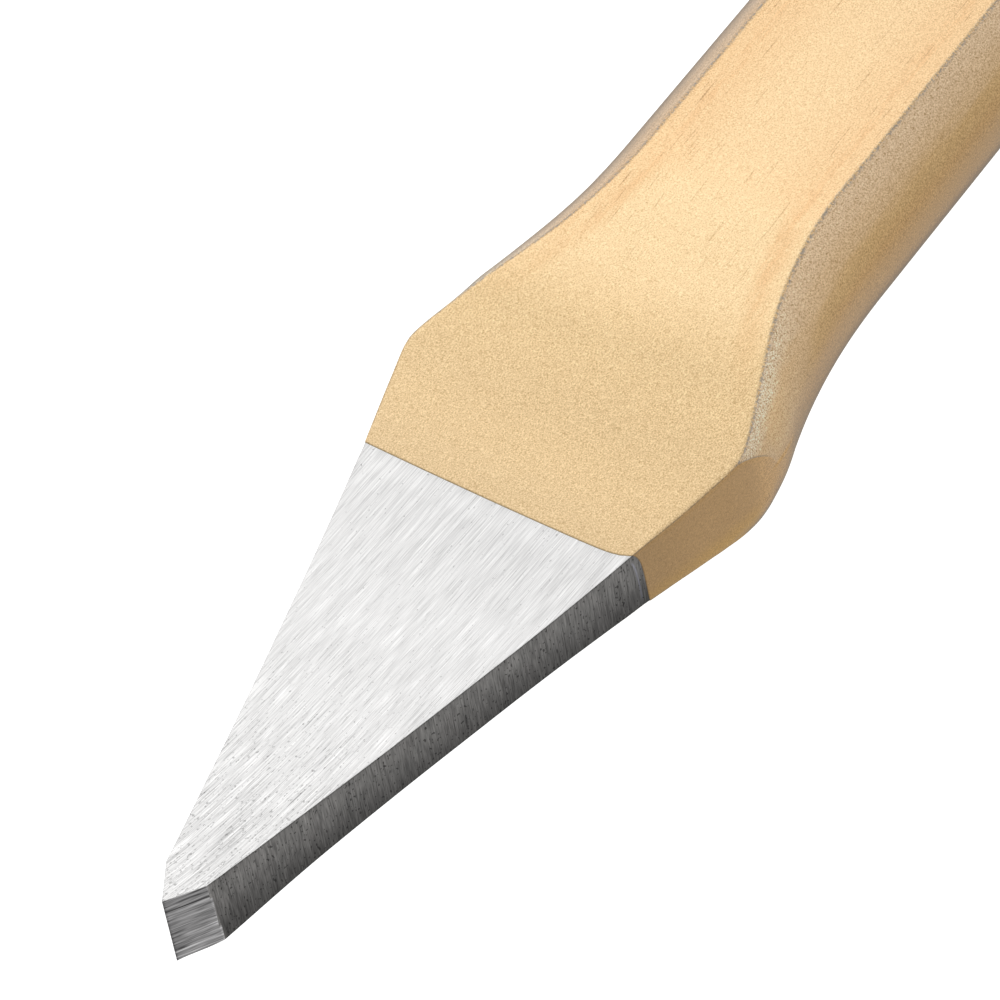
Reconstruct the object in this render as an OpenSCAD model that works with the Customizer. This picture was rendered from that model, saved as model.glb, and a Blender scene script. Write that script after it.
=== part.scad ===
// Cape (cross-cut) chisel: a one-piece steel forging of flat-oval bar with a lacquer coat.
// Millimetres. X runs along the tool from the cutting edge to the head, Y across the wide
// faces and Z through the thickness. The tool lies on one wide face, and the origin is the
// centre of its box at the bottom. Stations x below count from the cutting edge.

/* [Bar] */
// Overall length, cutting edge to striking face
length = 200; // [160:1:300]
// Width of the flat-oval bar over its rounded sides
bar_w = 26; // [25:0.5:27]
// Thickness of the bar, lacquer included
bar_t = 13; // [12.5:0.1:13.5]
// Width of the flat on each wide face of the bar
flat_w = 17.6; // [16.5:0.1:18.5]

/* [Cutting edge] */
// Length of the cutting edge, which stands across the blade
edge_l = 7.2; // [6.8:0.1:7.6]
// Width of the cutting edge's own land
edge_land = 0.06; // [0.04:0.01:0.2]
// Length of the double bevel, measured along the tool
bevel_l = 3; // [2:0.1:4]
// Width of the blade where the bevel begins
bevel_w = 4.1; // [3.6:0.1:4.6]

/* [Blade] */
// Angle of each narrow side to the tool's axis, in plan
wedge_angle = 14.1; // [13.8:0.1:14.4]
// Radius of the shoulder, where the blade is deepest
shoulder_r = 15; // [10:1:20]
// Thickness at the waist, the relief behind the cutting edge
waist_t = 5.04; // [4.6:0.02:5.4]
// Station where the hollow ground behind the edge ends at the waist
waist_front = 26; // [22:1:28]
// Station where the wide faces begin to rise from the waist
waist_back = 32; // [30:1:34]
// Radius of the hollow between the waist and the neck
hollow_r = 213; // [205:1:225]
// Station where that hollow ends
hollow_end = 64; // [62:0.5:65]

/* [Neck] */
// Station where the neck's outer sides meet the bar
neck_end = 85.3; // [84:0.1:90]
// Concave radius of the neck's outer sides, in plan
neck_r = 70; // [60:1:75]
// Angle to the axis of the ridge between wide face and rounded side, behind the shoulder
ridge_angle = 22.9; // [22:0.1:24]
// Concave radius that brings the ridge parallel to the bar
ridge_r = 44; // [40:1:48]
// Station where the wide faces level out into the bar
ramp_end = 83; // [82:0.5:84]
// Length over which each change of slope on the wide face is rounded
ramp_round = 4; // [2:0.5:5]
// Rounding of the ridge's corner at the shoulder
corner_blend = 1.6; // [0.5:0.1:2.5]

/* [Head] */
// Length of the taper in front of the striking end
head_taper_l = 14; // [8:1:20]
// Section at the end of the taper, as a share of the bar's
head_taper = 0.88; // [0.8:0.01:0.95]
// Length of the crown around the striking face
crown_l = 3; // [2:0.5:4]
// Section of the flat striking face, as a share of the bar's
crown = 0.66; // [0.55:0.01:0.75]

/* [Lacquer] */
// Thickness of the lacquer
coat_t = 0.1; // [0.05:0.01:0.2]
// Station of the lacquer's front edge, behind the ground bit
coat_start = 46.5; // [42:0.5:49]

/* [Detail] */
// Steps from a ridge to the crease on its side
crease_steps = 5; // [3:1:8]
// Steps from the crease to mid-thickness
side_steps = 3; // [2:1:5]
// Steps around the crown of the head
crown_steps = 5; // [3:1:8]

/* [Hidden] */

half_w = bar_w / 2;
half_t = bar_t / 2;
half_flat = flat_w / 2;
side_bulge = half_w - half_flat;
side_r = (half_t * half_t + side_bulge * side_bulge) / (2 * side_bulge);

taper_start = length - crown_l - head_taper_l;
taper_end = length - crown_l;

// Plan of the narrow sides: wedge line, shoulder arc, neck arc, bar.
wedge_slope = tan(wedge_angle);
wedge_y0 = bevel_w / 2 - bevel_l * wedge_slope;
neck_c = [neck_end, half_w + neck_r];
// The shoulder's centre lies shoulder_r inside the wedge line and touches the neck arc.
inner_y0 = wedge_y0 - shoulder_r / cos(wedge_angle);
centre_gap = shoulder_r + neck_r;
qa = 1 + wedge_slope * wedge_slope;
qb = 2 * (wedge_slope * (inner_y0 - neck_c[1]) - neck_c[0]);
qc = neck_c[0] * neck_c[0] + pow(inner_y0 - neck_c[1], 2) - centre_gap * centre_gap;
shoulder_cx = (-qb - sqrt(qb * qb - 4 * qa * qc)) / (2 * qa);
shoulder_c = [shoulder_cx, inner_y0 + wedge_slope * shoulder_cx];
shoulder_start = shoulder_c[0] - shoulder_r * sin(wedge_angle);
shoulder_end = shoulder_c[0] + (neck_c[0] - shoulder_c[0]) * shoulder_r / centre_gap;

// The ridge behind the shoulder: a straight line, then an arc into the bar's ridge.
ridge_arc_start = neck_end - ridge_r * sin(ridge_angle);
ridge_arc_y = half_flat + ridge_r * (1 - cos(ridge_angle));

// The wide faces: slopes of the hollow's end and of the ramp up to the bar.
edge_half = edge_l / 2;
waist_half = waist_t / 2;
front_r = (pow(waist_front, 2) + pow(edge_half - waist_half, 2)) / (2 * (edge_half - waist_half));
hollow_l = hollow_end - waist_back;
hollow_rise = hollow_r - sqrt(hollow_r * hollow_r - hollow_l * hollow_l);
hollow_slope = hollow_l / sqrt(hollow_r * hollow_r - hollow_l * hollow_l);
ramp_start = hollow_end + ramp_round / 2;
ramp_y = waist_half + hollow_rise + hollow_slope * ramp_round / 2;
ramp_slope = (half_t - ramp_y) / (ramp_end - ramp_start);

// The lower of two values, rounded where they lie within k of each other.
function soft_min(a, b, k) = min(a, b) - k / 4 * pow(max(1 - abs(a - b) / k, 0), 2);

// Half-width of the blade and neck at their outermost.
function wall_y(x) =
    x < bevel_l ? edge_land / 2 + (bevel_w - edge_land) / 2 * x / bevel_l :
    x < shoulder_start ? wedge_y0 + wedge_slope * x :
    x < shoulder_end ? shoulder_c[1] + sqrt(pow(shoulder_r, 2) - pow(x - shoulder_c[0], 2)) :
    x < neck_end ? neck_c[1] - sqrt(neck_r * neck_r - pow(x - neck_c[0], 2)) :
    half_w;

// Half-width of the wide face where the rounded side bounds it.
function rounded_ridge_y(x) =
    x < ridge_arc_start ? ridge_arc_y + (ridge_arc_start - x) * tan(ridge_angle) :
    x < neck_end ? half_flat + ridge_r - sqrt(pow(ridge_r, 2) - pow(neck_end - x, 2)) :
    half_flat;

// Half-width of the wide face, ridge to centre line.
function ridge_y(x) =
    x < shoulder_start - corner_blend * 2 ? wall_y(x) :
    soft_min(wall_y(x), rounded_ridge_y(x), corner_blend);

// Half-thickness, from the centre plane to the wide face.
function face_z(x) =
    x < waist_front ? waist_half + front_r - sqrt(pow(front_r, 2) - pow(waist_front - x, 2)) :
    x < waist_back ? waist_half :
    x < hollow_end ? waist_half + hollow_r - sqrt(pow(hollow_r, 2) - pow(x - waist_back, 2)) :
    let (steep = ramp_y + (x - ramp_start) * hollow_slope,
         ramp = ramp_y + (x - ramp_start) * ramp_slope,
         bend = (hollow_slope - ramp_slope) * ramp_round / 2,
         level = ramp_slope * ramp_round / 2)
    soft_min(soft_min(steep, ramp, bend), half_t, level);

// Share of the full section that is left at a station: less than 1 only on the head.
function head_share(x) =
    x <= taper_start ? 1 :
    x <= taper_end ? 1 - (1 - head_taper) * (x - taper_start) / head_taper_l :
    crown + (head_taper - crown) * sqrt(max(1 - pow((x - taper_end) / crown_l, 2), 0));

// Height above the centre plane where a rounded side of radius r would pass the wall.
function crease_z(bulge, t, r) =
    let (y = bulge + sqrt(r * r - t * t))
    y >= r ? 0 : sqrt(r * r - y * y);

// Upper half of one side, from the ridge down to mid-thickness, as [y, z] points.
function side_points(x) =
    let (t = face_z(x), y0 = ridge_y(x), y1 = max(wall_y(x), y0), bulge = y1 - y0,
         sag = side_r - sqrt(side_r * side_r - t * t),
         r = bulge > sag ? (t * t + bulge * bulge) / (2 * bulge) : side_r,
         zc = min(max(crease_z(bulge, t, r), t / 4), t * 3 / 4),
         levels = concat([for (i = [0 : crease_steps]) t + (zc - t) * i / crease_steps],
                         [for (i = [1 : side_steps]) zc * (1 - i / side_steps)]))
    [for (z = levels) [min(y1, y0 + sqrt(r * r - z * z) - sqrt(r * r - t * t)), z]];

// The whole section at a station, counter-clockwise seen from the head, drawn in by skin.
function section(x, skin) =
    let (upper = side_points(x), n = len(upper), s = head_share(x),
         ky = (wall_y(x) * s - skin) / wall_y(x), kz = (face_z(x) * s - skin) / face_z(x),
         side = [for (p = upper) [p[0] * ky, p[1] * kz]])
    concat([for (i = [n - 1 : -1 : 0]) side[i]],
           [for (i = [0 : n - 1]) [-side[i][0], side[i][1]]],
           [for (i = [n - 2 : -1 : 0]) [-side[i][0], -side[i][1]]],
           [for (i = [0 : n - 2]) [side[i][0], -side[i][1]]]);

ring_n = 4 * (crease_steps + side_steps) + 2;

// Points of the sections at the given stations, in the part's own frame.
function loft_points(stations, skin) =
    [for (x = stations) for (p = section(x, skin)) [x - length / 2, p[0], p[1] + half_t]];

// Side faces between neighbouring rings; flip turns them to face inwards.
function loft_faces(rings, first, flip) =
    [for (j = [0 : rings - 2]) for (i = [0 : ring_n - 1])
        let (a = first + j * ring_n + i, b = first + j * ring_n + (i + 1) % ring_n)
        flip ? [a, b, b + ring_n, a + ring_n] : [a, a + ring_n, b + ring_n, b]];

// End face of a ring, as strips between points at the same height on its two sides.
function cap_faces(first, flip) =
    let (n = crease_steps + side_steps + 1)
    [for (i = [1 - n : n - 2])
        let (a = first + (i + ring_n) % ring_n, b = first + (i + 1 + ring_n) % ring_n,
             c = first + 2 * n - 2 - i, d = first + 2 * n - 1 - i)
        flip ? [d, c, b, a] : [a, b, c, d]];

// Stations: coarse where the surface is nearly straight, fine at the shoulder and neck.
blade_stations = [0, bevel_l, 8, 14, 20, waist_front, waist_back, 38];
coated_stations = concat(
    [coat_start, 50, 54],
    [for (x = [56 : 1 : 70]) x],
    [for (x = [72 : 2 : 84]) x],
    [neck_end, taper_start, taper_end]);
crown_stations = [for (i = [1 : crown_steps]) taper_end + crown_l * sin(90 * i / crown_steps)];

module steel_forging() {
    front = loft_points(blade_stations, 0);
    under_coat = loft_points(coated_stations, coat_t);
    back = loft_points(crown_stations, coat_t);
    rings = len(blade_stations) + len(coated_stations) + len(crown_stations);
    color("silver")
        polyhedron(
            points = concat(front, under_coat, back),
            faces = concat(cap_faces(0, false), loft_faces(rings, 0, false),
                           cap_faces((rings - 1) * ring_n, true)),
            convexity = 4);
}

module lacquer_coat() {
    rings = len(coated_stations);
    inner = rings * ring_n;
    last = (rings - 1) * ring_n;
    color("burlywood")
        polyhedron(
            points = concat(loft_points(coated_stations, 0), loft_points(coated_stations, coat_t)),
            faces = concat(
                loft_faces(rings, 0, false), loft_faces(rings, inner, true),
                [for (i = [0 : ring_n - 1]) let (k = (i + 1) % ring_n) [i, k, inner + k, inner + i]],
                [for (i = [0 : ring_n - 1]) let (k = (i + 1) % ring_n)
                    [last + k, last + i, inner + last + i, inner + last + k]]),
            convexity = 6);
}

steel_forging();
lacquer_coat();
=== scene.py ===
"""Looks of the cape chisel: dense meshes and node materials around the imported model.

The scene is in metres. The shape's own numbers are in millimetres: stations x count from the
cutting edge to the head, y runs across the wide faces and z up from the centre plane. The
materials see a point's place in the row frame instead, also in millimetres: at() gives the x of
a station there, and z counts up from the bottom.
"""

import math

import bmesh
import bpy
import numpy as np
from mathutils import Matrix, Vector, noise


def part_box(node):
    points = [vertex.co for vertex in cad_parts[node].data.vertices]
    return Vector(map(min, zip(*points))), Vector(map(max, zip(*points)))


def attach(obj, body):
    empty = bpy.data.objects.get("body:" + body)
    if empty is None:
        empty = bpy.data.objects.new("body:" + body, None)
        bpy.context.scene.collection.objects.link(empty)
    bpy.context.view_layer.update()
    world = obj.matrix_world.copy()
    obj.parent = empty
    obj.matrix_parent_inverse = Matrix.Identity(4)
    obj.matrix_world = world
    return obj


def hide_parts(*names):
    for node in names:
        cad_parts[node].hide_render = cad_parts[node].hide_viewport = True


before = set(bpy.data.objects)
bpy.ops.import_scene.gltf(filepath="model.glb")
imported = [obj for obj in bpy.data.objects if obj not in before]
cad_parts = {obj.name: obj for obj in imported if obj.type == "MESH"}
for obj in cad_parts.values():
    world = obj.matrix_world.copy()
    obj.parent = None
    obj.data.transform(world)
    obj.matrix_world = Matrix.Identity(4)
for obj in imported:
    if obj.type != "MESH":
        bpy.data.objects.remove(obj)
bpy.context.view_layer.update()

MM = 0.001
STEEL_LOW, STEEL_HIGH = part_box("steel_forging")
COAT_LOW, COAT_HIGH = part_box("lacquer_coat")
EDGE_X = STEEL_LOW.x
EDGE_MM = round(EDGE_X / MM, 3)
CENTRE_Z = (COAT_LOW.z + COAT_HIGH.z) / 2
LENGTH = (STEEL_HIGH.x - STEEL_LOW.x) / MM
HALF_T = (COAT_HIGH.z - COAT_LOW.z) / 2 / MM

# Bar
HALF_W = 13.0
HALF_FLAT = 8.8

# Ground bit
EDGE_HALF = 3.6
EDGE_LAND = 0.06
BEVEL_NEAR = 3.0
BEVEL_FAR = 3.6
BEVEL_HALF_W = 2.05
BEVEL_SKEW = 0.2
TIP_DROP_ABOVE = 0.22
TIP_DROP_BELOW = 0.28
TIP_DROP_RISE = 3.0
TIP_DROP_FULL = 2.0
TIP_DROP_END = 14.0

# Blade, in plan and in thickness
WEDGE_SLOPE = math.tan(math.radians(14.1))
WEDGE_Y0 = BEVEL_HALF_W - BEVEL_NEAR * WEDGE_SLOPE
SHOULDER_R = 15.0
SHOULDER_SWELL = 0.18
SWELL_ZONE = (46, 52, 56, 60)
WAIST_HALF = 2.52
WAIST_FRONT = 26.0
WAIST_BACK = 32.0
HOLLOW_R = 213.0
HOLLOW_END = 64.0

# Neck
NECK_END = 85.3
NECK_R = 70.0
RIDGE_ANGLE = math.radians(22.9)
RIDGE_R = 44.0
RAMP_END = 83.0
RAMP_ROUND = 7.0
CORNER_BLEND_ABOVE = 0.3
CORNER_BLEND_BELOW = 1.0
CORNER_LEAD = 3.0
NECK_FULLNESS = 0.3
FULL_ZONE = (64, 67, 70, 80)

# Ridge near the shoulder, drawn in on top and standing out underneath
DRAWN_IN = 0.1
DRAWN_IN_MORE = 0.25
DRAWN_IN_MORE_X = 60.5
DRAWN_IN_MORE_RUN = 2.6
DRAWN_IN_FADE = (63, 71)
BELOW_SHARE = 1.15
BELOW_OUT = 0.52

# Crease between narrow side and flank
CREASE_ROUND = 0.05
CREASE_ROUND_BELOW = 0.4
CREASE_ZONE = (55, 58, 61.5, 64)
CREASE_SIDE_FADE = 0.5

# Head
TAPER_L = 14.0
TAPER_SHARE = 0.88
CROWN_L = 3.0
CROWN_SHARE = 0.66
TAPER_END = LENGTH - CROWN_L
TAPER_START = TAPER_END - TAPER_L

# Lacquer and the steel under it
PAINT_X = 46.5
COAT_T = 0.1
PAINT_STEP = 0.04
GRIND_RUN_OUT = 2.5
STEEL_DIP = 0.08
STEEL_DIP_ZONE = (0.1, 1.2)
STEEL_RISE_ZONE = (TAPER_END - 0.2, TAPER_END + 0.43)
LIP_STEPS = (0, 0.03, 0.07, 0.12, 0.2, 0.35, 0.6)
LIP_SKIN = 1.2 * PAINT_STEP
LIP_ROUND = 0.12
LIP_INNER_SKIN = 1.5 * PAINT_STEP
WAVE_SIZE = 9.0
WAVE_DEPTH = 0.02
CHIP_SIZE = 0.7
CHIP_DEPTH = 0.012
CHIP_REACH = 0.25
RELIEF_ZONE = (0.5, 5)

# Masking line: how the lacquer's front edge bends round the blade
MASK_MIDDLE_Y = -0.5
MASK_OFFSET = -0.25
MASK_SLOPE = 0.0601
MASK_BEND = 0.0008
MASK_LIFT = 0.54
MASK_LIFT_Y = -12.86
MASK_LIFT_RUN = 0.9
MASK_RIDGE_Z = 3.0
MASK_SIDE = 0.75
MASK_SIDE_RUN = 0.8
MASK_SIDE_SLOPE = 0.035
MASK_FOLLOW_ZONE = (1.2, 7)

# Arrises of the meshes
STEEL_ARRIS = 0.04
COAT_ARRIS = 0.05
COAT_ARRIS_MORE = 0.17
COAT_ARRIS_RUN = 4.0
FACE_MARGIN = 2.5

# Grinding lines on the wide faces
GRIND_SLOPE = 0.062
GRIND_TIP = 20.0
GRIND_TIP_BEND = 0.004

# Striking face: rings that shrink to its middle, and its dents
STRIKE_SHARES = (0.97, 0.9, 0.8, 0.68, 0.55, 0.4, 0.25, 0.1)
DENT_SIZE = 2.4
DENT_DEPTH = 0.06
DENT_OFFSET = 0.1

# Seeds of the noise in the meshes
WAVE_SEED, CHIP_SEED, DENT_SEED = 1, 2, 3

# Material slots of the steel
WIDE_FACE, NARROW_SIDE, BEVEL, CROWN = range(4)

# A value for marks that don't matter at a point, well past all of their effects
FAR_MM = 150.0

# Steel colours
FACE_STEEL = (0.70, 0.695, 0.69)
# Narrow sides: dark partly from their cross-grinding and partly as painted shade
SHADED_SIDE_STEEL = (0.297, 0.284, 0.276)
SHADED_SIDE_STEEL_COOL = (0.278, 0.275, 0.265)
MASKED_STEEL = (0.42, 0.42, 0.48)
BEVEL_STEEL = (0.45, 0.443, 0.445)
CROWN_STEEL = (0.50, 0.485, 0.47)

# Lacquer colours
SIDE_GOLD = (0.725, 0.431, 0.156)
SIDE_GOLD_LIGHT = (0.765, 0.459, 0.170)
# Darker copy of the gold for the narrow sides: painted shade
SHADED_NARROW_GOLD = (0.645, 0.381, 0.136)
NARROW_GOLD_LOW = (0.73, 0.43, 0.115)
# Paler copy of the gold for the wide faces: painted light
FACE_GOLD = (0.745, 0.53, 0.268)
FACE_GOLD_LIGHT = (0.78, 0.555, 0.285)
# Lighter upper flank: painted light
LIT_UPPER_FLANK_GOLD = (0.795, 0.537, 0.275)
# Pale strip below the ridge: painted sheen over coarse grain
ROUGH_SHEEN_GOLD = (0.88, 0.675, 0.46)
ROUGH_SHEEN_GOLD_BACK = (0.83, 0.60, 0.37)
# Darker flank streak: painted reflection
REFLECTED_STREAK_GOLD = (0.72, 0.47, 0.19)
BAND_GOLD = (0.68, 0.415, 0.175)
CREASE_SHADE_BROWN = (0.22, 0.19, 0.15)
WORN_BROWN = (0.25, 0.19, 0.12)
WORN_GREY = (0.28, 0.27, 0.25)

# Grain of the lacquer: its contrast, and how much of it red, green and blue take
GRAIN_CONTRAST = 1.7
GRAIN_SHARES = (0.85, 1.02, 1.35)

# Depth of the bumps, in metres
LINE_BUMP = 0.000003
CROSS_BUMP = 0.000004
CROWN_BUMP = 0.00002
GRAIN_BUMP = 0.000006

# Studio
SKY_HORIZON = 0.78
SKY_TOP = 0.92
SKY_UNDER_FRONT = 0.66
SKY_UNDER_BACK = 0.3
SKY_PANEL = 0.42
SKY_BACK = (0.64, 0.77, 0.0)
SKY_FRONT = (0.17, -0.98, 0.0)
FLOOR_HALF = 4.0

# Camera, fitted to the photograph
CAMERA_AZIMUTH = math.radians(-49.28)
CAMERA_ELEVATION = math.radians(45.83)
CAMERA_ROLL = math.radians(-10.65)
CAMERA_DISTANCE = 0.52293
CAMERA_AIM_X = 44.13
CAMERA_AIM_Y = -2.41
CAMERA_LENS = 240.32
CAMERA_SENSOR = 36


def at(station):
    """The x, in the row frame's millimetres, of a station."""
    return station + EDGE_MM


def soft_min(a, b, k):
    """The lower of two values, rounded where they are within k of each other."""
    return np.minimum(a, b) - k / 4 * np.maximum(1 - np.abs(a - b) / k, 0) ** 2


def smooth(low, high, value):
    """A smooth step from 0 at low to 1 at high."""
    share = np.clip((value - low) / (high - low), 0, 1)
    return share * share * (3 - 2 * share)


def hump(zone, value):
    """1 between the two middle values of a zone, falling smoothly to 0 at its outer two."""
    rise_start, rise_end, fall_start, fall_end = zone
    return smooth(rise_start, rise_end, value) * (1 - smooth(fall_start, fall_end, value))


def bezier(share, start, middle, end):
    """A quadratic curve from start to end that leaves and arrives aimed at middle."""
    return (1 - share) ** 2 * start + 2 * share * (1 - share) * middle + share**2 * end


def arc_rise(radius, run):
    """How far an arc that starts level has risen after a run."""
    return radius - np.sqrt(np.maximum(radius**2 - run**2, 0))


def arc_radius(run, rise):
    """Radius of an arc that starts level and has risen by rise after a run."""
    return (run**2 + rise**2) / (2 * rise)


def shoulder_arc():
    """Centre, start and end station of the shoulder arc, which joins wedge line and neck arc."""
    neck_y = HALF_W + NECK_R
    inner_y0 = WEDGE_Y0 - SHOULDER_R * math.hypot(1, WEDGE_SLOPE)
    gap = SHOULDER_R + NECK_R
    a = 1 + WEDGE_SLOPE**2
    b = 2 * (WEDGE_SLOPE * (inner_y0 - neck_y) - NECK_END)
    c = NECK_END**2 + (inner_y0 - neck_y) ** 2 - gap**2
    centre_x = (-b - math.sqrt(b * b - 4 * a * c)) / (2 * a)
    centre_y = inner_y0 + WEDGE_SLOPE * centre_x
    start = centre_x - SHOULDER_R * math.sin(math.atan(WEDGE_SLOPE))
    end = centre_x + (NECK_END - centre_x) * SHOULDER_R / gap
    return centre_x, centre_y, start, end


SHOULDER_X, SHOULDER_Y, SHOULDER_START, SHOULDER_END = shoulder_arc()
SIDE_R = arc_radius(HALF_T, HALF_W - HALF_FLAT)
FRONT_R = arc_radius(WAIST_FRONT, EDGE_HALF - WAIST_HALF)


def wall_y(x, ring):
    """Half-width of blade and neck at their outermost."""
    bevel_l = ring.bevel_l
    corner_y = WEDGE_Y0 + WEDGE_SLOPE * bevel_l
    bevel = EDGE_LAND / 2 + (corner_y - EDGE_LAND / 2) * x / bevel_l
    wedge = WEDGE_Y0 + WEDGE_SLOPE * x
    shoulder = SHOULDER_Y + SHOULDER_R - arc_rise(SHOULDER_R, x - SHOULDER_X)
    neck = HALF_W + arc_rise(NECK_R, NECK_END - x)
    zones = [x < bevel_l, x < SHOULDER_START, x < SHOULDER_END, x < NECK_END]
    swell = SHOULDER_SWELL * hump(SWELL_ZONE, x)
    # The neck is a little fuller on the +Y side.
    fuller = NECK_FULLNESS * (ring.sign_y > 0) * hump(FULL_ZONE, x)
    return np.select(zones, [bevel, wedge, shoulder, neck], HALF_W) + swell + fuller


def ridge_y(x, ring):
    """Half-width of the wide face, centre line to ridge."""
    arc_start = NECK_END - RIDGE_R * math.sin(RIDGE_ANGLE)
    arc_y = HALF_FLAT + RIDGE_R * (1 - math.cos(RIDGE_ANGLE))
    line = arc_y + (arc_start - x) * math.tan(RIDGE_ANGLE)
    arc = HALF_FLAT + arc_rise(RIDGE_R, NECK_END - x)
    rounded = np.select([x < arc_start, x < NECK_END], [line, arc], HALF_FLAT)
    # Close to the shoulder the ridge is drawn in a little on top and stands out underneath.
    more = np.exp(np.minimum((DRAWN_IN_MORE_X - x) / DRAWN_IN_MORE_RUN, 2))
    above = DRAWN_IN + DRAWN_IN_MORE * more
    drawn_in = np.where(ring.sign_z > 0, above, BELOW_SHARE * above - BELOW_OUT)
    drawn_in = drawn_in * (1 - smooth(*DRAWN_IN_FADE, x))
    wall = wall_y(x, ring)
    corner = soft_min(wall, rounded - drawn_in, ring.blend)
    return np.where(x < SHOULDER_START - CORNER_LEAD, wall, corner)


def face_z(x):
    """Half-thickness, from the centre plane to the wide face."""
    hollow_l = HOLLOW_END - WAIST_BACK
    hollow_slope = hollow_l / math.sqrt(HOLLOW_R**2 - hollow_l**2)
    ramp_x = HOLLOW_END + RAMP_ROUND / 2
    ramp_z = WAIST_HALF + arc_rise(HOLLOW_R, hollow_l) + hollow_slope * RAMP_ROUND / 2
    ramp_slope = (HALF_T - ramp_z) / (RAMP_END - ramp_x)
    bend = (hollow_slope - ramp_slope) * RAMP_ROUND / 2
    steep = ramp_z + (x - ramp_x) * hollow_slope
    ramp = ramp_z + (x - ramp_x) * ramp_slope
    rise = soft_min(soft_min(steep, ramp, bend), HALF_T, ramp_slope * RAMP_ROUND / 2)
    front = WAIST_HALF + arc_rise(FRONT_R, WAIST_FRONT - x)
    hollow = WAIST_HALF + arc_rise(HOLLOW_R, x - WAIST_BACK)
    zones = [x < WAIST_FRONT, x < WAIST_BACK, x < HOLLOW_END]
    return np.select(zones, [front, WAIST_HALF, hollow], rise)


def tip_drop(x, ring):
    """How much lower both wide faces lie at the tip, as a change of the half-thickness."""
    fade = 1 - smooth(TIP_DROP_FULL, TIP_DROP_END, x)
    below = TIP_DROP_BELOW * smooth(0, TIP_DROP_RISE, x)
    return fade * np.where(ring.sign_z > 0, TIP_DROP_ABOVE, -below)


def head_share(x):
    """Share of the full section that is left: less than 1 only on the head."""
    taper = 1 - (1 - TAPER_SHARE) * (x - TAPER_START) / TAPER_L
    past = np.clip((x - TAPER_END) / CROWN_L, 0, 1)
    crown = CROWN_SHARE + (TAPER_SHARE - CROWN_SHARE) * np.sqrt(1 - past**2)
    return np.select([x < TAPER_START, x < TAPER_END], [1.0, taper], crown)


class Ring:
    """Where each point of a section lies: on a wide face, round a ridge or down a side."""

    def __init__(self, face_n, corner_n, side_n):
        face = [(share, -1.0, -1.0) for share in np.linspace(0, 1, face_n)]
        corner = [(1.0, share, -1.0) for share in np.linspace(0, 1, corner_n)]
        side = [(1.0, 1.0, share) for share in np.linspace(0, 1, side_n + 1)[1:]]
        quarter = face + corner + side
        n = len(quarter)
        order = list(range(n)) + list(range(n - 2, -1, -1)) + list(range(1, n))
        order += list(range(n - 2, 0, -1))
        self.sign_y = np.array([1] * (2 * n - 1) + [-1] * (2 * n - 3))
        self.sign_z = np.array([1] * n + [-1] * (2 * n - 2) + [1] * (n - 2))
        self.face, self.corner, self.side = np.array(quarter)[order].T
        self.n = len(order)
        self.on_face = self.corner < 0.5
        self.blend = np.where(self.sign_z > 0, CORNER_BLEND_ABOVE, CORNER_BLEND_BELOW)
        height = self.sign_z * (1 - np.clip(self.side, 0, 1))
        self.bevel_l = np.where(self.sign_y > 0, BEVEL_FAR, BEVEL_NEAR + BEVEL_SKEW * (1 - height))


def section(x, ring, skin, arris, crease):
    """y and z of the ring's points at stations x, drawn in by skin, and their coordinates."""
    ridge = ridge_y(x, ring)
    wall = np.maximum(wall_y(x, ring), ridge)
    top = face_z(x) - tip_drop(x, ring)
    bulge = wall - ridge
    own_radius = arc_radius(top, np.maximum(bulge, 1e-6))
    radius = np.where(bulge > arc_rise(SIDE_R, top), own_radius, SIDE_R)
    reach = np.minimum(arris, ridge / 4)
    ridge_angle = np.arcsin(top / radius)
    start = ridge_angle - reach / radius

    def down(angle):
        free = ridge + radius * (np.cos(angle) - np.cos(ridge_angle))
        return soft_min(free, wall, crease), radius * np.sin(angle), free - wall

    flat_y = np.clip(ring.face, 0, 1) * (ridge - FACE_MARGIN * reach)
    turn = np.clip(ring.corner, 0, 1)
    end_y, end_z, _ = down(start)
    turn_y = bezier(turn, ridge - reach, ridge, end_y)
    turn_z = bezier(turn, top, top, end_z)
    angle = start * (1 - np.clip(ring.side, 0, 1))
    side_y, side_z, over = down(angle)
    zones = [ring.side >= 0, ring.corner >= 0]
    y = np.select(zones, [side_y, turn_y], flat_y)
    z = np.select(zones, [side_z, turn_z], top)
    side_depth = radius * (angle - ridge_angle)
    from_ridge = np.select(zones, [side_depth, reach * (1 - 2 * turn)], ridge - flat_y)
    share = head_share(x)
    y = y * (wall * share - skin) / wall
    z = z * (top * share - skin) / top
    marks = {"ridge_mm": from_ridge, "wall_mm": np.clip(over, -2, 2)}
    return y * ring.sign_y, z * ring.sign_z, marks


def crease_round(x, ring):
    """How widely the crease between narrow side and flank is rounded: more on the underside."""
    below = smooth(0, CREASE_SIDE_FADE, 1 - np.clip(ring.side, 0, 1)) * (ring.sign_z < 0)
    return CREASE_ROUND + CREASE_ROUND_BELOW * below * hump(CREASE_ZONE, x)


def paint_shift(y, z):
    """How far the lacquer's front edge lies behind PAINT_X round the blade, as it was masked."""
    across = y - MASK_MIDDLE_Y
    face = MASK_OFFSET + MASK_SLOPE * across + MASK_BEND * across**2
    lift = MASK_LIFT * np.exp((MASK_LIFT_Y - y) / MASK_LIFT_RUN)
    down = MASK_RIDGE_Z - z
    side = MASK_SIDE * (1 - np.exp(-down / MASK_SIDE_RUN)) + MASK_SIDE_SLOPE * down
    return face + lift + side


def flow(points, scale, seed):
    """Smooth noise between -1 and 1 at points, in mm, with features of about scale."""
    shift = Vector((seed * 17.3, seed * 5.9, seed * 11.1))
    values = [noise.noise(Vector(p) / scale + shift) for p in points.reshape(-1, 3)]
    return np.array(values).reshape(points.shape[:-1])


def to_frame(x, y, z):
    """Millimetres of the chisel to metres of the row frame."""
    return np.stack([EDGE_X + x * MM, y * MM, CENTRE_Z + z * MM], axis=-1)


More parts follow.
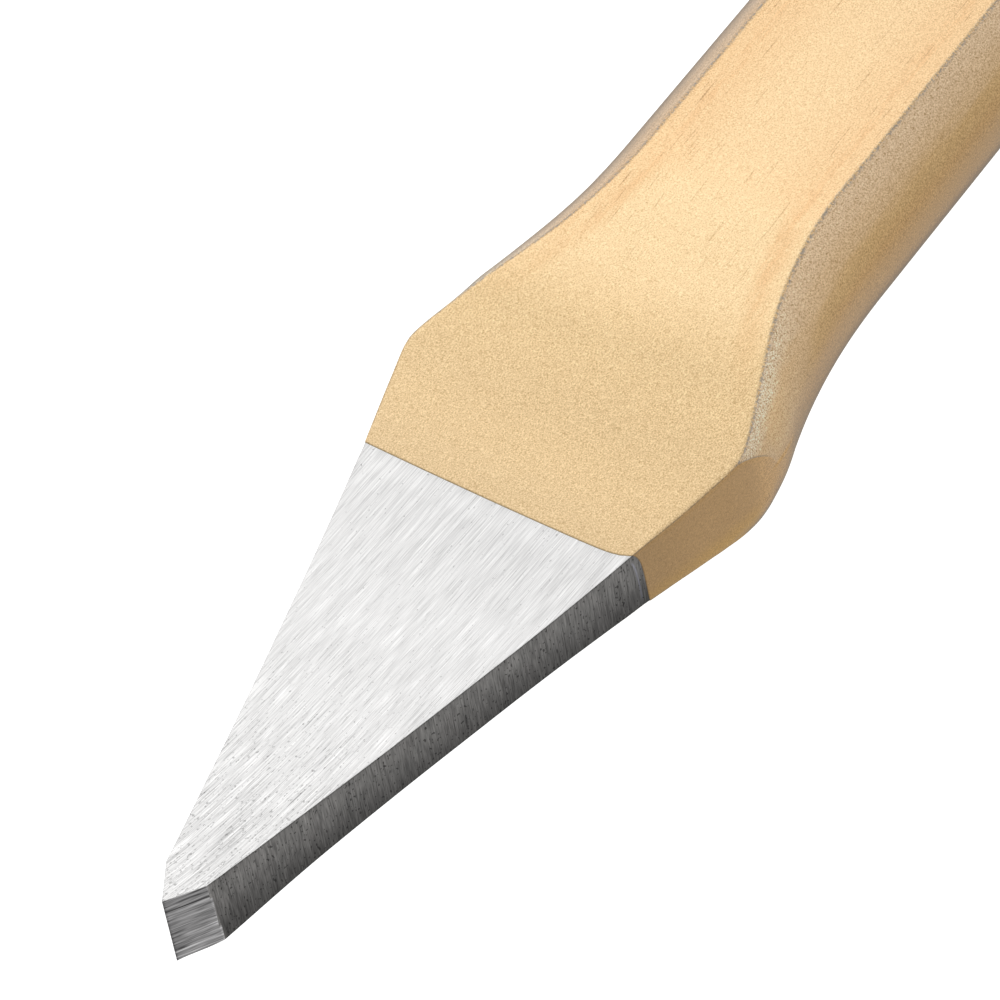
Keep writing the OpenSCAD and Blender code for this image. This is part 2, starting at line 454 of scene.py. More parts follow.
def loft_quads(rows, ring_n, first=0, inward=False):
    """Faces between neighbouring rings."""
    at = first + np.arange(rows * ring_n).reshape(rows, ring_n)
    near, far = at[:-1], at[1:]
    quads = np.stack([near, far, np.roll(far, -1, 1), np.roll(near, -1, 1)], axis=-1)
    return quads[..., ::-1] if inward else quads


def fan(centre, rim, inward=False):
    """Triangles from a centre point to a closed rim."""
    turned = np.roll(rim, -1)
    pairs = zip(rim, turned) if not inward else zip(turned, rim)
    return [(centre, int(a), int(b)) for a, b in pairs]


def make_mesh(name, points, faces, slots, marks):
    """A mesh object with material slots by face and named values by point."""
    mesh = bpy.data.meshes.new(name)
    mesh.from_pydata(points.reshape(-1, 3).tolist(), [], faces)
    for key, values in marks.items():
        layer = mesh.attributes.new(key, "FLOAT", "POINT")
        layer.data.foreach_set("value", np.asarray(values, np.float32).ravel())
    mesh.polygons.foreach_set("material_index", np.asarray(slots, np.int32))
    mesh.polygons.foreach_set("use_smooth", np.ones(len(faces), bool))
    shape = bmesh.new()
    shape.from_mesh(mesh)
    bmesh.ops.recalc_face_normals(shape, faces=shape.faces)
    shape.to_mesh(mesh)
    shape.free()
    mesh.update()
    piece = bpy.data.objects.new(name, mesh)
    bpy.context.scene.collection.objects.link(piece)
    return piece


def spaced(*spans):
    """Stations from (start, end, step) spans, without repeats."""
    parts = [np.linspace(a, b, max(2, round((b - a) / step) + 1)) for a, b, step in spans]
    return np.unique(np.round(np.concatenate(parts), 5))


def shifted(stations, ring, arris):
    """Stations for every ring point, bent near PAINT_X to follow the lacquer's front edge."""
    y, z, _ = section(np.full(ring.n, PAINT_X), ring, 0, arris, arris)
    shift = paint_shift(y, z)
    near = 1 - smooth(*MASK_FOLLOW_ZONE, np.abs(stations - PAINT_X))
    x = stations[:, None] + near[:, None] * shift[None, :]
    return x, x - PAINT_X - shift[None, :]


def grind_across(x, y):
    """Coordinate across the long grinding lines, which converge slightly at the tip."""
    to_tip = np.maximum(GRIND_TIP - x, 0)
    return y + GRIND_SLOPE * x + GRIND_TIP_BEND * (GRIND_TIP**2 - to_tip**2)


def under_paint(x, past_paint):
    """How far the steel lies below the bar's surface where lacquer covers it."""
    skin = PAINT_STEP * smooth(-GRIND_RUN_OUT, 0, past_paint)
    skin += STEEL_DIP * smooth(*STEEL_DIP_ZONE, past_paint)
    return skin * (1 - smooth(*STEEL_RISE_ZONE, x))


def steel_slots(x, ring):
    """Material slot of every face between neighbouring rings."""
    face_x = (x[:-1] + x[1:]) / 2
    on_side = ~(ring.on_face & np.roll(ring.on_face, -1))
    slots = np.where(on_side, np.where(face_x < ring.bevel_l, BEVEL, NARROW_SIDE), WIDE_FACE)
    return np.where(face_x > TAPER_END - 1, CROWN, slots)


def striking_face(rim_y, rim_z):
    """Rings of points from the rim to the middle, with the faint dents of use."""
    shares = np.array(STRIKE_SHARES)[:, None]
    y = shares * rim_y
    z = shares * rim_z
    x = np.full(y.shape, LENGTH)
    dents = flow(np.stack([x, y, z], -1), DENT_SIZE, DENT_SEED)
    return to_frame(x - DENT_DEPTH * np.clip(dents + DENT_OFFSET, 0, 1), y, z)


def padded(values, count, filler=0.0):
    """The values of the lofted points, and a filler for a count of further points."""
    return np.concatenate([values.ravel(), np.full(count, filler)])


def steel_body():
    """The forging: ground bit in full detail, plain steel under the lacquer, bare crown."""
    ring = Ring(face_n=16, corner_n=4, side_n=22)
    body = spaced((0, 4, 0.2), (4, 44, 0.4), (44, 49, 0.125), (49, 88, 1),
                  (88, TAPER_START, 8), (TAPER_START, TAPER_END, 2))
    crown = TAPER_END + CROWN_L * np.sin(np.linspace(0, math.pi / 2, 12))[1:]
    stations = np.concatenate([body, crown])
    x, past_paint = shifted(stations, ring, STEEL_ARRIS)
    y, z, marks = section(x, ring, under_paint(x, past_paint), STEEL_ARRIS, crease_round(x, ring))
    strike = striking_face(y[-1], z[-1]).reshape(-1, 3)
    ends = to_frame(np.array([0.0, LENGTH]), np.zeros(2), np.zeros(2))
    points = np.concatenate([to_frame(x, y, z).reshape(-1, 3), strike, ends])

    rings = len(stations)
    strike_rings = len(STRIKE_SHARES)
    body_quads = loft_quads(rings, ring.n).reshape(-1, 4)
    strike_quads = loft_quads(strike_rings + 1, ring.n, (rings - 1) * ring.n).reshape(-1, 4)
    innermost = (rings + strike_rings - 1) * ring.n + np.arange(ring.n)
    edge_fan = fan(len(points) - 2, np.arange(ring.n))
    strike_fan = fan(len(points) - 1, innermost, inward=True)
    faces = body_quads.tolist() + strike_quads.tolist() + edge_fan + strike_fan
    counts = (len(strike_quads), len(edge_fan), len(strike_fan))
    more_slots = np.repeat((CROWN, BEVEL, CROWN), counts)
    slots = np.concatenate([steel_slots(x, ring).ravel(), more_slots])

    extra = len(strike) + len(ends)
    values = {key: padded(value, extra) for key, value in marks.items()}
    values["paint_mm"] = padded(past_paint, extra, FAR_MM)
    values["bevel_mm"] = padded(x - ring.bevel_l, extra, FAR_MM)
    values["grind_mm"] = padded(grind_across(x, y), extra)
    return make_mesh("steel_body", points, faces, slots, values)


def film_relief(x, y, z, from_ridge, past_paint):
    """How far the film's outside dips: slow waves, and chips along the ridges."""
    place = np.stack([x, y, z], -1)
    waves = 0.5 + 0.5 * flow(place, WAVE_SIZE, WAVE_SEED)
    chips = np.clip(flow(place, CHIP_SIZE, CHIP_SEED), 0, 1)
    chips *= np.exp(-(from_ridge / CHIP_REACH) ** 2)
    return smooth(*RELIEF_ZONE, past_paint) * (WAVE_DEPTH * waves + CHIP_DEPTH * chips)


def film_faces(rings, n):
    """Faces of a closed film: outside, inside, front lip and tail."""
    inner = rings * n
    tail = (rings - 1) * n
    outside = loft_quads(rings, n).reshape(-1, 4).tolist()
    inside = loft_quads(rings, n, inner, inward=True).reshape(-1, 4).tolist()
    pairs = [(i, (i + 1) % n) for i in range(n)]
    lip = [(i, k, inner + k, inner + i) for i, k in pairs]
    end = [(tail + k, tail + i, inner + tail + i, inner + tail + k) for i, k in pairs]
    return outside + inside + lip + end


def lacquer_film():
    """The lacquer: a closed film with a rounded front lip that follows the masking."""
    ring = Ring(face_n=20, corner_n=6, side_n=34)
    body = spaced((PAINT_X + 0.9, 56, 0.45), (56, 68, 0.25), (68, 88, 0.5), (88, TAPER_START, 1.5),
                  (TAPER_START, TAPER_END, 0.7))
    stations = np.concatenate([PAINT_X + np.array(LIP_STEPS), body])
    x, past_paint = shifted(stations, ring, COAT_ARRIS)
    more = smooth(PAINT_X, PAINT_X + COAT_ARRIS_RUN, stations)[:, None]
    arris = COAT_ARRIS + COAT_ARRIS_MORE * more
    crease = CREASE_ROUND + arris + crease_round(x, ring)
    lip_skin = LIP_SKIN * (1 - smooth(0, LIP_ROUND, past_paint)) ** 2
    y, z, marks = section(x, ring, lip_skin, arris, crease)
    outer_skin = lip_skin + film_relief(x, y, z, marks["ridge_mm"], past_paint)
    y, z, marks = section(x, ring, outer_skin, arris, crease)
    inner_skin = LIP_INNER_SKIN + (COAT_T - LIP_INNER_SKIN) * smooth(0, 1, past_paint)
    inner_y, inner_z, _ = section(x, ring, inner_skin, arris, crease)
    points = np.concatenate([to_frame(x, y, z), to_frame(x, inner_y, inner_z)])
    faces = film_faces(len(stations), ring.n)
    values = {key: np.tile(value.ravel(), 2) for key, value in marks.items()}
    values["paint_mm"] = np.tile(past_paint.ravel(), 2)
    return make_mesh("lacquer_film", points, faces, np.zeros(len(faces)), values)


class Nodes:
    """A node tree with short calls for the nodes that these materials use."""

    def __init__(self, tree):
        self.tree = tree
        tree.nodes.clear()

    def add(self, kind, settings=(), **inputs):
        """A node, with its settings and its inputs, each a value or another node's output."""
        node = self.tree.nodes.new(kind)
        for key, value in dict(settings).items():
            setattr(node, key, value)
        for key, value in inputs.items():
            self.feed(node.inputs[key.replace("_", " ")], value)
        return node

    def feed(self, socket, value):
        if isinstance(value, bpy.types.NodeSocket):
            self.tree.links.new(value, socket)
        else:
            socket.default_value = value

    def math(self, operation, *values):
        node = self.add("ShaderNodeMath", {"operation": operation})
        for socket, value in zip(node.inputs, values):
            self.feed(socket, value)
        return node.outputs[0]

    def attribute(self, name):
        return self.add("ShaderNodeAttribute", {"attribute_name": name}).outputs["Fac"]

    def vector(self, x, y, z):
        return self.add("ShaderNodeCombineXYZ", X=x, Y=y, Z=z).outputs[0]

    def noise(self, vector, scale, detail=2.0, roughness=0.5):
        """Noise from 0 to 1 whose features are about 1/scale across."""
        node = self.add("ShaderNodeTexNoise", Vector=vector, Scale=scale, Detail=detail,
                        Roughness=roughness)
        return node.outputs["Fac"]

    def map(self, value, low, high, to_low=0.0, to_high=1.0):
        """Value moved smoothly from [low, high] to [to_low, to_high]."""
        node = self.add("ShaderNodeMapRange", {"interpolation_type": "SMOOTHSTEP"})
        for socket, entry in zip(node.inputs, (value, low, high, to_low, to_high)):
            self.feed(socket, entry)
        return node.outputs[0]

    def band(self, value, centre, half):
        """1 at centre, falling smoothly to 0 at half the width either way."""
        off = self.math("ABSOLUTE", self.math("SUBTRACT", value, centre))
        return self.map(off, 0.0, half, 1.0, 0.0)

    def dot(self, vector, direction):
        node = self.add("ShaderNodeVectorMath", {"operation": "DOT_PRODUCT"})
        self.feed(node.inputs[0], vector)
        self.feed(node.inputs[1], direction)
        return node.outputs["Value"]

    def mix(self, share, a, b, blend="MIX"):
        node = self.add("ShaderNodeMix", {"data_type": "RGBA", "blend_type": blend})
        self.feed(node.inputs["Factor"], share)
        for socket, colour in zip([s for s in node.inputs if s.type == "RGBA"], (a, b)):
            self.feed(socket, colour if isinstance(colour, bpy.types.NodeSocket) else (*colour, 1))
        return [s for s in node.outputs if s.type == "RGBA"][0]

    def times(self, colour, factor):
        """A colour scaled by a value."""
        node = self.add("ShaderNodeVectorMath", {"operation": "SCALE"})
        self.feed(node.inputs[0], colour)
        self.feed(node.inputs["Scale"], factor)
        return node.outputs[0]

    def product(self, value, *factors):
        """A value times one factor after another."""
        for factor in factors:
            value = self.math("MULTIPLY", value, factor)
        return value

    def lowered(self, level, mask, share=1.0):
        """A level that loses the given share of itself where the mask is 1."""
        loss = self.math("MULTIPLY", mask, share)
        return self.math("MULTIPLY", level, self.math("SUBTRACT", 1.0, loss))

    def split(self, vector):
        """The x, y and z of a vector."""
        return self.add("ShaderNodeSeparateXYZ", Vector=vector).outputs

    def place(self):
        """The point's own place in millimetres."""
        return self.times(self.add("ShaderNodeTexCoord").outputs["Object"], 1 / MM)


def material(name, paint):
    """A material whose surface and bump the function paint sets on its Principled shader."""
    mat = bpy.data.materials.new(name)
    mat.use_nodes = True
    n = Nodes(mat.node_tree)
    out = n.add("ShaderNodeOutputMaterial")
    shader = n.add("ShaderNodeBsdfPrincipled")
    mat.node_tree.links.new(shader.outputs[0], out.inputs["Surface"])
    paint(n, shader.inputs)
    return mat


def bump(n, height, distance, strength=1.0):
    """A bump from a height between 0 and 1, distance metres deep."""
    return n.add("ShaderNodeBump", Height=height, Distance=distance, Strength=strength).outputs[0]


def swing(n, value, amount):
    """Noise from 0 to 1 turned into a swing of the given amount about 0."""
    return n.math("MULTIPLY", n.math("SUBTRACT", value, 0.5), amount)


def lines(n, across, along, third, width, length, detail=2.0):
    """Noise drawn out into grinding lines of a width and a length in millimetres."""
    place = n.vector(n.math("DIVIDE", across, width), n.math("DIVIDE", along, length), third)
    return n.noise(place, 1.0, detail, 0.6)


def swung(n, *patterns):
    """1 plus the swing of each pattern, given as a pair of noise and amount."""
    level = 1.0
    for pattern, amount in patterns:
        level = n.math("ADD", level, swing(n, pattern, amount))
    return level


def ground_face(n, shader):
    """Wide faces of the bit: long bright grinding lines, with dark pits towards the tip."""
    x, _, z = n.split(n.place())
    across = n.attribute("grind_mm")
    fine = lines(n, across, x, z, width=0.075, length=3.2, detail=3.0)
    long = lines(n, across, x, z, width=0.12, length=9.0, detail=1.0)
    medium = lines(n, across, x, z, width=0.28, length=12.0)
    broad = lines(n, across, x, z, width=1.3, length=14.0)
    to_tip = n.map(x, at(0), at(44), 1.0, 0.0)
    fine_swing = n.map(to_tip, 0.0, 1.0, 1.0, 1.5)
    level = swung(n, (fine, fine_swing), (long, 0.45), (medium, 0.07), (broad, 0.05))
    pit_noise = lines(n, across, x, z, width=0.16, length=0.34, detail=1.0)
    pit = n.map(n.math("ADD", pit_noise, n.math("MULTIPLY", to_tip, 0.09)), 0.69, 0.79)
    scratch = n.map(lines(n, across, x, z, width=0.11, length=3.4, detail=1.0), 0.65, 0.73)
    marks = n.math("MULTIPLY", scratch, n.math("ADD", 0.20, n.math("MULTIPLY", to_tip, 0.24)))
    marks = n.math("ADD", marks, n.math("MULTIPLY", pit, 0.42))
    n.feed(shader["Base Color"], n.times(FACE_STEEL, n.lowered(level, marks)))
    shader["Metallic"].default_value = 1.0
    n.feed(shader["Roughness"], n.map(medium, 0.2, 0.8, 0.36, 0.40))
    shader["Anisotropic"].default_value = 0.5
    tangent = n.add("ShaderNodeTangent", {"direction_type": "RADIAL", "axis": "X"})
    n.feed(shader["Tangent"], tangent.outputs[0])
    n.feed(shader["Normal"], bump(n, long, LINE_BUMP))


def ground_side(n, shader):
    """Narrow sides of the bit: cross-ground steel, dark partly as painted shade, with streaks and
    black pits.
    """
    place = n.place()
    x, y, z = n.split(place)
    fine = lines(n, x, z, y, width=0.10, length=1.8, detail=3.0)
    medium = lines(n, x, z, y, width=0.33, length=5.0)
    broad = lines(n, x, z, y, width=1.6, length=7.0)
    level = swung(n, (fine, 2.4), (medium, 0.5), (broad, 0.6))
    darkening = n.map(lines(n, x, z, y, width=0.16, length=9.0, detail=1.0), 0.66, 0.74)
    level = n.math("SUBTRACT", level, n.math("MULTIPLY", darkening, 0.3))
    pit_place = n.vector(n.math("MULTIPLY", x, 5.2), y, n.math("MULTIPLY", z, 3.4))
    pit = n.map(n.noise(pit_place, scale=1.0, detail=0.0), 0.705, 0.755)
    level = n.lowered(level, pit, 0.66)
    # The arris to the wide face is darker, and the corner to the bevel gets a painted highlight.
    ridge = n.attribute("ridge_mm")
    level = n.lowered(level, n.band(ridge, -0.07, 0.16), 0.35)
    # Painted shade: the side is darker towards the bottom.
    level = n.math("MULTIPLY", level, n.map(z, 3.6, 8.8, 0.45, 1.05))
    corner = n.band(n.attribute("bevel_mm"), 0.0, 0.16)
    level = n.math("ADD", level, n.math("MULTIPLY", corner, 0.6))
    # Masking left a brighter line in front of the lacquer; behind that line a darker strip is the
    # lacquer edge's painted shadow.
    paint = n.attribute("paint_mm")
    level = n.lowered(level, n.map(paint, -0.5, -0.38, 0.0, 0.08))
    grey = n.mix(n.noise(place, scale=0.5, detail=2.0), SHADED_SIDE_STEEL, SHADED_SIDE_STEEL_COOL)
    masked = n.product(n.band(paint, -0.6, 0.14), n.map(ridge, -1.2, -0.5, 0.9, 0.0))
    n.feed(shader["Base Color"], n.times(n.mix(masked, grey, MASKED_STEEL), level))
    shader["Metallic"].default_value = 1.0
    shader["Roughness"].default_value = 0.42
    shader["Anisotropic"].default_value = 0.4
    n.feed(shader["Normal"], bump(n, fine, CROSS_BUMP))


def ground_bevel(n, shader):
    """Cutting bevels: coarse light and dark lines straight off the edge."""
    x, y, z = n.split(n.place())
    skew = n.math("ADD", z, n.math("MULTIPLY", x, 0.04))
    fine = lines(n, skew, x, y, width=0.17, length=6.0, detail=1.0)
    coarse = lines(n, skew, x, 0.0, width=0.45, length=9.0)
    dark = n.map(lines(n, skew, x, 3.0, width=0.26, length=9.0, detail=0.0), 0.60, 0.70)
    light = n.map(lines(n, skew, x, 7.0, width=0.22, length=7.0, detail=0.0), 0.60, 0.70)
    level = swung(n, (fine, 2.2), (coarse, 2.6))
    level = n.math("ADD", level, n.math("MULTIPLY", light, 0.9))
    level = n.lowered(level, dark, 0.75)
    from_corner = n.attribute("bevel_mm")
    level = n.math("MULTIPLY", level, n.map(from_corner, -3.0, -2.0, 0.82, 1.0))
    # A painted highlight along the corner to the narrow side.
    level = n.math("ADD", level, n.math("MULTIPLY", n.band(from_corner, 0.0, 0.14), 0.35))
    n.feed(shader["Base Color"], n.times(BEVEL_STEEL, level))
    shader["Metallic"].default_value = 1.0
    shader["Roughness"].default_value = 0.36
    n.feed(shader["Normal"], bump(n, fine, CROSS_BUMP))


def struck_steel(n, shader):
    """Crown and striking face: bare steel, dulled by hammer blows."""
    place = n.place()
    grain = n.noise(place, scale=4.0, detail=4.0, roughness=0.6)
    patch = n.noise(place, scale=0.5, detail=2.0)
    level = n.math("ADD", n.math("MULTIPLY", grain, 0.4), n.math("MULTIPLY", patch, 0.5))
    n.feed(shader["Base Color"], n.times(CROWN_STEEL, n.math("ADD", level, 0.55)))
    shader["Metallic"].default_value = 1.0
    n.feed(shader["Roughness"], n.map(grain, 0.2, 0.8, 0.38, 0.52))
    n.feed(shader["Normal"], bump(n, grain, CROWN_BUMP))


def flank_masks(n, x, ridge, over_wall, wander, behind):
    """Rounded flank: all of it, its upper part, which is painted lighter, its coarse-grained strip
    with a painted sheen, and its darker band of painted reflection.
    """
    depth = n.math("ADD", n.math("MULTIPLY", ridge, -1.0), swing(n, wander, 1.6))
    flank = n.product(n.map(over_wall, 0.01, 0.06, 1.0, 0.0), n.map(ridge, -0.12, 0.0, 1.0, 0.0))
    flank = n.product(flank, n.map(x, at(56.6), at(57.1)))
    upper_end = n.map(behind, 0.0, 1.0, 7.0, 5.0)
    rough_end = n.map(behind, 0.0, 1.0, 2.2, 4.2)
    upper = n.product(flank, n.map(depth, 3.4, upper_end, 1.0, 0.0))
    rough_sheen = n.product(flank, n.map(depth, 0.6, rough_end, 1.0, 0.0))
    reflected_streak = n.product(flank, behind, n.band(depth, 4.7, 1.5))
    return flank, upper, rough_sheen, reflected_streak


def face_bands(n, x, y, ridge, wander, along):
    """Wide face: a light strip inside the ridge, then a fuzzy darker band."""
    inner = n.math("ADD", ridge, swing(n, wander, 1.4))
    near = n.band(inner, 1.9, 1.8)
    far = n.product(n.map(inner, 0.6, 4.2, 0.75, 0.0), n.map(y, -1.0, 3.0))
    ragged = n.noise(along, scale=2.3, detail=3.0, roughness=0.7)
    fuzzy = n.product(n.math("MAXIMUM", near, far), n.map(x, at(60), at(80)))
    fuzzy = n.product(fuzzy, n.map(ragged, 0.3, 0.62, 0.5, 1.3))
    deeper = n.product(n.map(x, at(79.5), at(84)), n.map(ridge, 0.0, 0.3))
    deeper = n.product(deeper, n.map(ridge, 2.4, 7.0, 0.78, 0.36))
    return n.math("MAXIMUM", fuzzy, deeper)


def hairs_and_specks(n, place, ridge, rough_sheen):
    """Faint dark hairlines along the bar and sparse dark specks."""
    x, y, z = n.split(place)
    hair_place = n.vector(n.math("MULTIPLY", x, 0.16), n.math("MULTIPLY", y, 4.5), z)
    hair = n.map(n.noise(hair_place, scale=1.0, detail=1.0), 0.66, 0.71)
    hair = n.product(hair, n.map(ridge, 0.3, 1.0), n.map(ridge, 1.0, 6.0, 1.6, 0.8))
    hair = n.product(hair, n.map(x, at(60), at(80), 0.15, 1.0))
    speck_level = n.math("ADD", 0.715, n.math("MULTIPLY", rough_sheen, -0.07))
    speck_noise = n.noise(place, scale=3.6, detail=2.0, roughness=0.6)
    speck = n.map(n.math("SUBTRACT", speck_noise, speck_level), 0.0, 0.03)
    return n.math("ADD", n.math("MULTIPLY", hair, 0.28), n.math("MULTIPLY", speck, 0.35))


def crease_shade(n, x, z, ridge, over_wall):
    """Painted shade: a dark line that marks the start of the crease between narrow side and flank.
    """
    crease = n.product(n.band(over_wall, 0.01, 0.05), n.map(x, at(60.5), at(63), 1.0, 0.0))
    crease = n.product(crease, n.map(x, at(56.8), at(57.3)), n.map(ridge, 0.0, 0.02, 1.0, 0.0))
    from_middle = n.math("ABSOLUTE", n.math("SUBTRACT", z, HALF_T))
    return n.product(crease, n.map(from_middle, 1.4, 2.8))


def worn_ridge(n, place, x, ridge, gold):
    """The gold, with grey steel in ragged spots on the ridges, where the lacquer is thinner."""
    ragged = n.noise(place, scale=4.0, detail=3.0, roughness=0.7)
    worn = n.map(ragged, n.map(x, at(56), at(64), 0.32, 0.43), 0.6)
    line_half = n.map(x, at(56), at(64), 0.15, 0.36)
    line = n.product(n.band(ridge, -0.05, line_half), worn)
    line_grey = n.mix(n.map(x, at(56), at(58)), WORN_BROWN, WORN_GREY)
    return n.mix(n.math("MULTIPLY", line, 0.8), gold, line_grey)


def painted_shade_and_highlight(n, x, flank):
    """Painted light on the lacquer: a painted shadow at the front edge, painted shade just behind
    it and a painted highlight in the hollow of the neck.
    """
    paint = n.attribute("paint_mm")
    # Painted shadow at the front edge, painted shade over the 7 mm behind it, and a painted
    # highlight on the ramp.
    lip = n.map(paint, 0.0, 0.13, 0.45, 1.0)
    darkening = n.map(paint, 0.0, 7.0, 0.88, 1.0)
    ramp_highlight = n.math("MULTIPLY_ADD", n.band(x, at(63.5), 8.0), 0.11, 1.0)
    # The flank is a little darker towards the head.
    fall = n.math("MULTIPLY_ADD", flank, n.map(x, at(64), at(102), 0.04, -0.05), 1.0)
    return n.product(lip, darkening, ramp_highlight, fall)


def gold_lacquer(n, shader):
    """Champagne-gold metallic lacquer: fine grain, grey worn ridges, soft streaks along the bar,
    and painted light and shade.
    """
    place = n.place()
    x, y, z = n.split(place)
    ridge = n.attribute("ridge_mm")
    over_wall = n.attribute("wall_mm")
    along = n.vector(n.math("MULTIPLY", x, 0.12), y, z)
    grain = n.noise(place, scale=7.6, detail=1.0, roughness=0.7)
    cloud = n.noise(place, scale=0.45, detail=3.0)
    wander = n.noise(along, scale=1.1, detail=3.0, roughness=0.6)
    behind = n.map(x, at(66), at(76))
    flank, upper, rough_sheen, reflected_streak = flank_masks(n, x, ridge, over_wall, wander, behind)

    # Painted shade makes the narrow sides of the blade browner still; along their lower edge they
    # are golden.
    narrow = n.product(n.map(over_wall, -0.08, 0.02), n.map(ridge, -0.12, 0.0, 1.0, 0.0))
    narrow = n.product(narrow, n.map(x, at(58.5), at(60.5), 1.0, 0.0))
    narrow_gold = n.mix(n.map(z, 3.0, 5.4), NARROW_GOLD_LOW, SHADED_NARROW_GOLD)
    side_gold = n.mix(narrow, n.mix(cloud, SIDE_GOLD, SIDE_GOLD_LIGHT), narrow_gold)
    # The wide faces take a paler copy of the gold than the sides, painted light where they catch
    # the most light.
    face_gold = n.mix(cloud, FACE_GOLD, FACE_GOLD_LIGHT)
    gold = n.mix(n.map(ridge, -0.1, 0.1), side_gold, face_gold)
    # Painted light: the upper part of the flank is lighter.
    gold = n.mix(n.math("MULTIPLY", upper, 0.9), gold, LIT_UPPER_FLANK_GOLD)
    # Painted sheen: the coarse-grained strip below the ridge takes a pale gold.
    rough_sheen_gold = n.mix(behind, ROUGH_SHEEN_GOLD, ROUGH_SHEEN_GOLD_BACK)
    gold = n.mix(n.math("MULTIPLY", rough_sheen, 0.85), gold, rough_sheen_gold)
    # Painted reflection of the darker horizon: a darker streak along the flank.
    gold = n.mix(n.math("MULTIPLY", reflected_streak, 0.6), gold, REFLECTED_STREAK_GOLD)
    bands = face_bands(n, x, y, ridge, wander, along)
    gold = n.mix(n.math("MULTIPLY", bands, 0.76), gold, BAND_GOLD)

    # Grain is coarse in the rough strip and faint on the narrow sides.
    coarse = n.math("MULTIPLY", n.map(behind, 0.0, 1.0, 0.7, 0.15), GRAIN_CONTRAST)
    contrast = n.math("MULTIPLY_ADD", rough_sheen, coarse, GRAIN_CONTRAST)
    contrast = n.math("MULTIPLY", contrast, n.map(narrow, 0.0, 1.0, 1.0, 0.62))
    # It swings blue more than red, so its dark spots are browner.
    dark = hairs_and_specks(n, place, ridge, rough_sheen)
    grainy = n.math("SUBTRACT", swing(n, grain, contrast), dark)
    channels = [n.math("MULTIPLY_ADD", grainy, share, 1.0) for share in GRAIN_SHARES]
    gold = n.mix(1.0, gold, n.vector(*channels), "MULTIPLY")

    crease = crease_shade(n, x, z, ridge, over_wall)
    gold = n.mix(n.math("MULTIPLY", crease, 0.6), gold, CREASE_SHADE_BROWN)
    gold = worn_ridge(n, place, x, ridge, gold)
    n.feed(shader["Base Color"], n.times(gold, painted_shade_and_highlight(n, x, flank)))
    shader["Metallic"].default_value = 0.85
    shader["Coat Weight"].default_value = 1.0
    shader["Coat Roughness"].default_value = 0.22
    n.feed(shader["Roughness"], n.map(grain, 0.2, 0.8, 0.30, 0.40))
    unevenness = n.math("MULTIPLY", n.noise(place, scale=1.6, detail=2.0), 1.5)
    n.feed(shader["Normal"], bump(n, n.math("ADD", grain, unevenness), GRAIN_BUMP))


def camera():
    """The photograph's viewpoint, aimed at the upper wide face of the blade."""
    aim = Vector((EDGE_X + CAMERA_AIM_X * MM, CAMERA_AIM_Y * MM, COAT_HIGH.z))
    turn = Matrix.Rotation(CAMERA_AZIMUTH, 4, "Z")
    turn = turn @ Matrix.Rotation(math.pi / 2 - CAMERA_ELEVATION, 4, "X")
    turn = turn @ Matrix.Rotation(CAMERA_ROLL, 4, "Z")
    data = bpy.data.cameras.new("camera")
    data.lens = CAMERA_LENS
    data.sensor_width = CAMERA_SENSOR
    data.clip_start = 0.01
    data.clip_end = 50
    cam = bpy.data.objects.new("camera", data)
    cam.matrix_world = Matrix.Translation(aim + turn.col[2].xyz * CAMERA_DISTANCE) @ turn
    bpy.context.scene.collection.objects.link(cam)
    bpy.context.scene.camera = cam


def softbox(name, azimuth, elevation, distance, width, height, radiance):
    """A soft area light of a given radiance that faces the blade."""
    data = bpy.data.lights.new(name, "AREA")
    data.shape = "RECTANGLE"
    data.size = width
    data.size_y = height
    data.energy = radiance * width * height * math.pi
    light = bpy.data.objects.new(name, data)
    turn = Matrix.Rotation(math.radians(azimuth + 90), 4, "Z")
    turn = turn @ Matrix.Rotation(math.radians(90 - elevation), 4, "X")
    aim = Vector((EDGE_X + 60 * MM, 0, COAT_HIGH.z))
    light.matrix_world = Matrix.Translation(aim + turn.col[2].xyz * distance) @ turn
    bpy.context.scene.collection.objects.link(light)


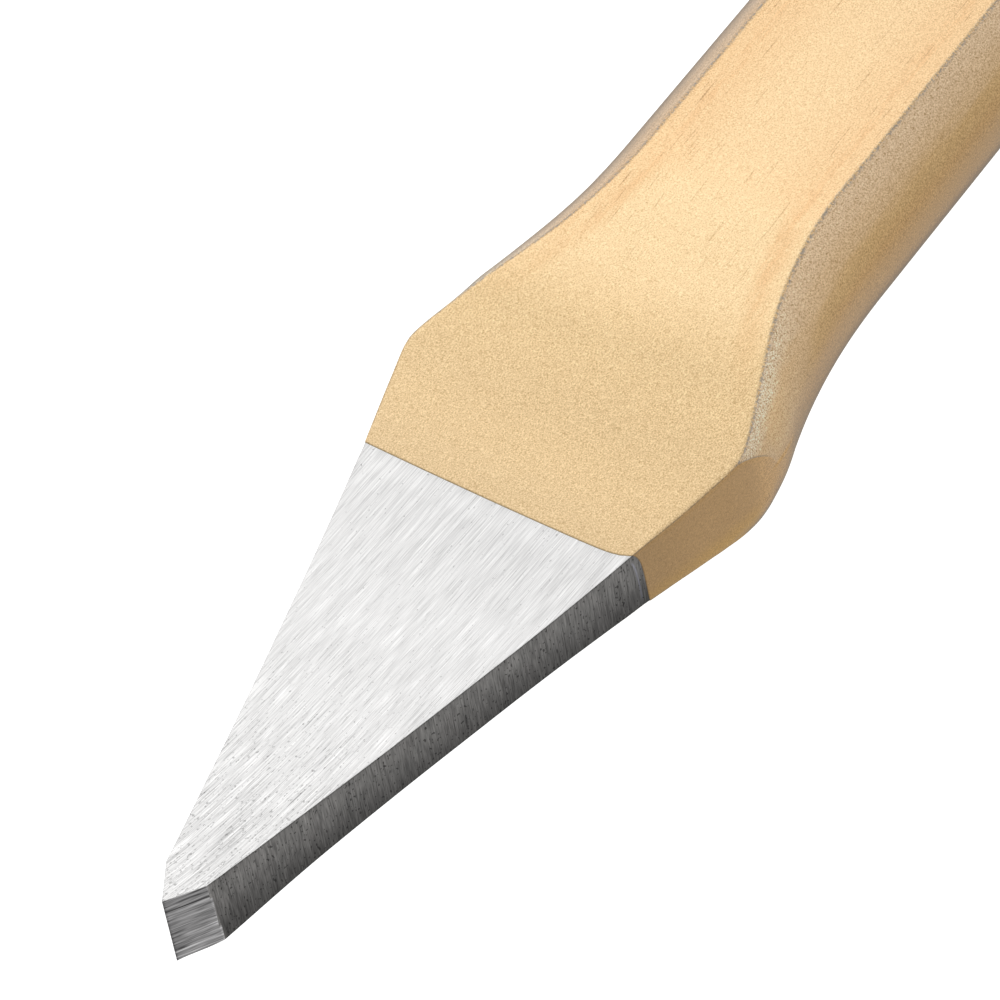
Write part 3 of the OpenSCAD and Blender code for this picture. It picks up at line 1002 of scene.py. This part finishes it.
def studio_sky():
    """Even studio surroundings: bright overhead and behind, darker in front and below."""
    world = bpy.data.worlds.new("studio")
    bpy.context.scene.world = world
    world.use_nodes = True
    n = Nodes(world.node_tree)
    out = n.add("ShaderNodeOutputWorld")
    direction = n.add("ShaderNodeTexCoord").outputs["Generated"]
    height = n.split(direction)["Z"]
    to_back = n.dot(direction, SKY_BACK)
    to_front = n.dot(direction, SKY_FRONT)
    overhead = n.map(height, 0.2, 0.85, SKY_HORIZON, SKY_TOP)
    below = n.map(to_front, 0.0, 0.5, SKY_UNDER_BACK, SKY_UNDER_FRONT)
    level = n.map(height, -0.35, 0.05, below, overhead)
    panel_level = n.map(n.math("ABSOLUTE", height), 0.2, 0.6, SKY_PANEL, 0.0)
    panel = n.math("MULTIPLY", n.map(to_back, 0.5, 0.95), panel_level)
    sky = n.add("ShaderNodeBackground", Strength=n.math("ADD", level, panel))
    world.node_tree.links.new(sky.outputs[0], out.inputs["Surface"])


def floor_material():
    """A pale table top, lit from within so that shadows on it stay faint."""
    mat = bpy.data.materials.new("pale_floor")
    mat.use_nodes = True
    n = Nodes(mat.node_tree)
    out = n.add("ShaderNodeOutputMaterial")
    diffuse = n.add("ShaderNodeBsdfDiffuse", Color=(0.6, 0.6, 0.6, 1))
    glow = n.add("ShaderNodeEmission", Strength=1.0)
    both = n.add("ShaderNodeAddShader")
    mat.node_tree.links.new(diffuse.outputs[0], both.inputs[0])
    mat.node_tree.links.new(glow.outputs[0], both.inputs[1])
    mat.node_tree.links.new(both.outputs[0], out.inputs["Surface"])
    return mat


def pale_floor():
    """A plain floor under the chisel, which doesn't light it from below."""
    mesh = bpy.data.meshes.new("floor")
    corners = [(-1, -1), (1, -1), (1, 1), (-1, 1)]
    points = [(FLOOR_HALF * x, FLOOR_HALF * y, COAT_LOW.z) for x, y in corners]
    mesh.from_pydata(points, [], [(0, 1, 2, 3)])
    floor = bpy.data.objects.new("floor", mesh)
    floor.data.materials.append(floor_material())
    bpy.context.scene.collection.objects.link(floor)
    floor.visible_glossy = False
    floor.visible_diffuse = False
    floor.visible_shadow = False


def finish_piece(piece, node, slot_name, *materials):
    """Material slots, body and replaced node of a piece; slot_name is not used."""
    for mat in materials:
        piece.data.materials.append(mat)
    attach(piece, "root")
    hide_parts(node)


camera()
bpy.context.scene.view_settings.view_transform = "Standard"
studio_sky()
pale_floor()
softbox("key", azimuth=41, elevation=45, distance=0.8, width=0.34, height=0.18, radiance=1.85)

finish_piece(
    steel_body(), "steel_forging", "ground_steel",
    material("ground_face", ground_face), material("ground_side", ground_side),
    material("ground_bevel", ground_bevel), material("struck_steel", struck_steel),
)
finish_piece(lacquer_film(), "lacquer_coat", "gold_lacquer", material("gold_lacquer", gold_lacquer))
